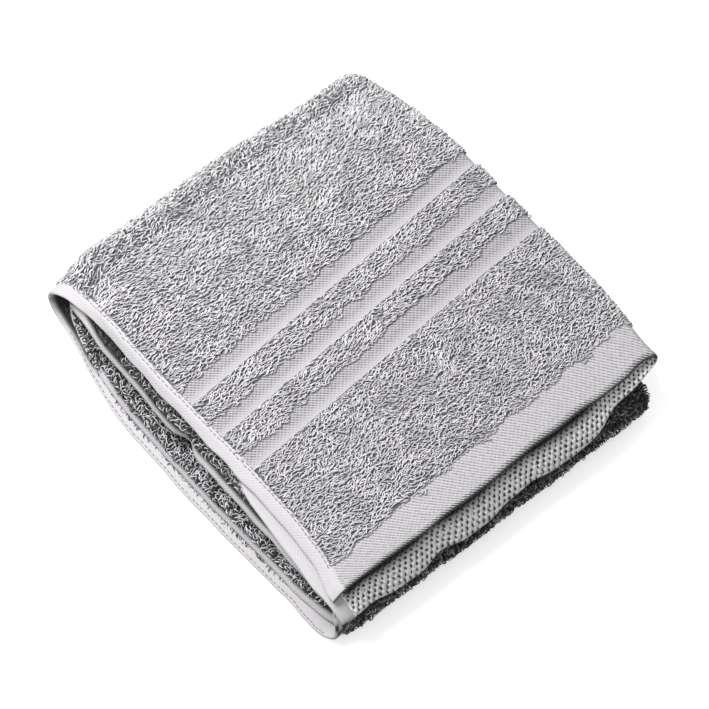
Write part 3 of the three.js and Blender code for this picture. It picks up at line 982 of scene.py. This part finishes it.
def buildLoops():
    pieces = []
    for patch in patches:
        along, across = scatterLoops(patch)
        parts = math.ceil(along.size / loops["mostInPiece"])
        for k, chosen in enumerate(np.array_split(np.argsort(along), parts)):
            name = f"loops_{patch['name']}" + (f"_{k + 1}" if parts > 1 else "")
            pieces.append(loopMesh(name, patch, along[chosen], across[chosen]))
    print("loops:", len(pieces), "pieces,",
          sum(len(piece.data.polygons) for piece in pieces), "triangles")
    return pieces


# the seams that hold the hems, on both faces
stitching = {
    "fromSide": (9.3, 7.8),  # rows along the side hems
    "fromEnd": (23.0,),  # rows along the end hems
    "edgeRow": 1.8,  # a row along the edge of the lowest layer
    "frontClear": 45.0,  # no other rows so near the front fold
    "pitch": 3.6,
    "length": 2.7,
    "radius": 0.3,
    "rise": 0.3,  # of a stitch's middle above its ends
    "sunk": 0.12,  # of its ends, below the hem
    "stray": 0.15,  # from its row
}


def stitchPlaces():
    # along, across, and 1 where a stitch runs along the cloth or 0 where it runs across
    width, pitch = stack["width"], stitching["pitch"]
    rows = []
    for inset in stitching["fromSide"]:
        places = np.arange(cloth["endHem"], clothLength - cloth["endHem"], pitch)
        rows += [(places, 0 * places + side, 0 * places + 1) for side in (inset, width - inset)]
    for inset in stitching["fromEnd"]:
        places = np.arange(stack["sideHem"] + pitch, width - stack["sideHem"], pitch)
        rows += [(0 * places + end, places, 0 * places) for end in (inset, clothLength - inset)]
    places = np.arange(bottomStart, frontStart, pitch)
    rows.append((places, 0 * places + stitching["edgeRow"], 0 * places + 1))
    along, across, runsAlong = (np.concatenate(column) for column in zip(*rows))
    hidden = (legTurn[legAt(along)] != 0) & (along > bottomStart)  # by the tight folds
    hidden |= ((np.abs(along - middleOf("frontFold")) < stitching["frontClear"])
               & (across != stitching["edgeRow"]))
    return along[~hidden], across[~hidden], runsAlong[~hidden]


def buildStitches():
    # each stitch: a low arch along its row, its ends sunk into the hem
    along, across, runsAlong = stitchPlaces()
    steps = np.linspace(-0.5, 0.5, 4)
    pieces = []
    covered = (across > plyWidth) & (along > cloth["endHem"]) & (along < bottomStart)
    for face, name in ((1, "stitches_outside"), (-1, "stitches_inside")):
        ground = face * skinHalf(along, across, face)
        up = standOn(along, across, ground, face)[3]
        offset = steps[None] * stitching["length"]
        rise = stitching["rise"] * (1 - (2 * steps[None]) ** 2) - stitching["sunk"]
        strayed = stitching["stray"] * random.normal(0, 1, along.size)[:, None]
        way = runsAlong[:, None]
        centre = clothPoint(along[:, None] + offset * way + strayed * (1 - way),
                            across[:, None] + offset * (1 - way) + strayed * way,
                            ground[:, None] + face * rise)
        radius = np.full(along.size, stitching["radius"])
        bared = ~covered | (face > 0)
        pieces.append(sweepTubes(name, centre[bared], up[bared], radius[bared], {}, sewingThread))
    print("stitches:", sum(len(piece.data.polygons) for piece in pieces), "triangles")
    return pieces


skin = buildSkin()
dressing = buildLoops() + buildStitches()


# where it lies and how it is lit
view = {
    "azimuth": 49.0,  # degrees, 0 looks along +Y
    "elevation": 63.0,
    "distance": 1.6,
    "target": (0.01176, -0.00397, 0.026),
    "focal": 2624.0,  # pixels, in a frame 709 pixels wide
    "frame": 709.0,
    "sensor": 36.0,
}


def placeCamera():
    # a long lens at the photo's angle, turned to the target
    azimuth, elevation = math.radians(view["azimuth"]), math.radians(view["elevation"])
    back = np.array([math.sin(azimuth) * math.cos(elevation),
                     -math.cos(azimuth) * math.cos(elevation), math.sin(elevation)])
    lens = bpy.data.cameras.new("camera")
    lens.sensor_width = view["sensor"]
    lens.lens = view["focal"] / view["frame"] * view["sensor"]
    camera = bpy.data.objects.new("camera", lens)
    camera.location = np.array(view["target"]) + back * view["distance"]
    camera.rotation_euler = (math.pi / 2 - elevation, 0, azimuth)
    bpy.context.scene.collection.objects.link(camera)
    bpy.context.scene.camera = camera


studio = {
    "keyFrom": (-0.75, -0.45, 1.7),
    "keyDistance": 0.95,
    "keySize": 0.45,
    "keyPower": 12.6,
    "sky": 0.64,
    "below": 0.12,  # light from under the floor, for the towel's underside
    "horizon": 0.02,  # half the height over which one turns into the other
}


def addLight(name, towards, distance, size, power):
    # a square soft box that shines from that direction at the towel's middle
    light = bpy.data.lights.new(name, "AREA")
    light.size = size
    light.energy = power
    lamp = bpy.data.objects.new(name, light)
    way = np.array(towards) / np.linalg.norm(towards)
    lamp.location = way * distance
    lamp.rotation_euler = (math.acos(way[2]), 0, math.atan2(way[0], -way[1]))
    bpy.context.scene.collection.objects.link(lamp)


def makeSky():
    # even light from above, little from below
    world = bpy.data.worlds.new("studio")
    bpy.context.scene.world = world
    world.use_nodes = True
    tree = world.node_tree
    way = addNode(tree, "ShaderNodeTexCoord")
    split = addNode(tree, "ShaderNodeSeparateXYZ", i0=way.outputs["Generated"])
    strength = addNode(tree, "ShaderNodeMapRange", i0=split.outputs["Z"], i1=-studio["horizon"],
                       i2=studio["horizon"], i3=studio["below"], i4=studio["sky"])
    background = next(node for node in tree.nodes if node.type == "BACKGROUND")
    background.inputs["Color"].default_value = (1, 1, 1, 1)
    tree.links.new(strength.outputs[0], background.inputs["Strength"])
    bpy.context.scene.view_settings.view_transform = "Standard"


paper = {
    "roughness": 0.9,
    "sheen": 0.0,
    "grain": 0.02,  # repeats per millimetre
    "light": "fbfbfb",
    "dark": "f8f8f8",
    "bump": 0.0,
    "glow": 0.5,  # keeps the paper white round the soft shadow
    "reach": 3000.0,
    "z": -0.2,
}


def makeFloor():
    # white paper; it throws no light back up, so the towel's sides stay as dark as they are
    material, tree, shader, place = newMaterial("matt_white_paper", paper)
    grain = addNode(tree, "ShaderNodeTexNoise", i0=place, Scale=paper["grain"], Detail=2.0)
    colour = addNode(tree, "ShaderNodeMix", inColour, i0=grain,
                     i6=linearColour(paper["light"]), i7=linearColour(paper["dark"]))
    finishMaterial(tree, shader, colour, grain, paper)
    shader.inputs["Emission Color"].default_value = (1, 1, 1, 1)
    shader.inputs["Emission Strength"].default_value = paper["glow"]
    reach, below = paper["reach"], paper["z"]
    corners = np.array([(-reach, -reach, below), (reach, -reach, below),
                        (reach, reach, below), (-reach, reach, below)])
    floor = addMesh("floor", corners, np.array([[0, 1, 2, 3]]), {}, [material])
    floor.visible_diffuse = False
    floor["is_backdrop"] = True


placeCamera()
addLight("key", studio["keyFrom"], studio["keyDistance"], studio["keySize"],
         studio["keyPower"])
makeSky()
makeFloor()
print("lit")

for piece in [skin, *dressing]:
    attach(piece, "root")
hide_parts("folded_towel")

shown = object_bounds()
corners = {"cad": [list(corner) for corner in cadBox],
           "visual": [list(corner) for corner in shown]}
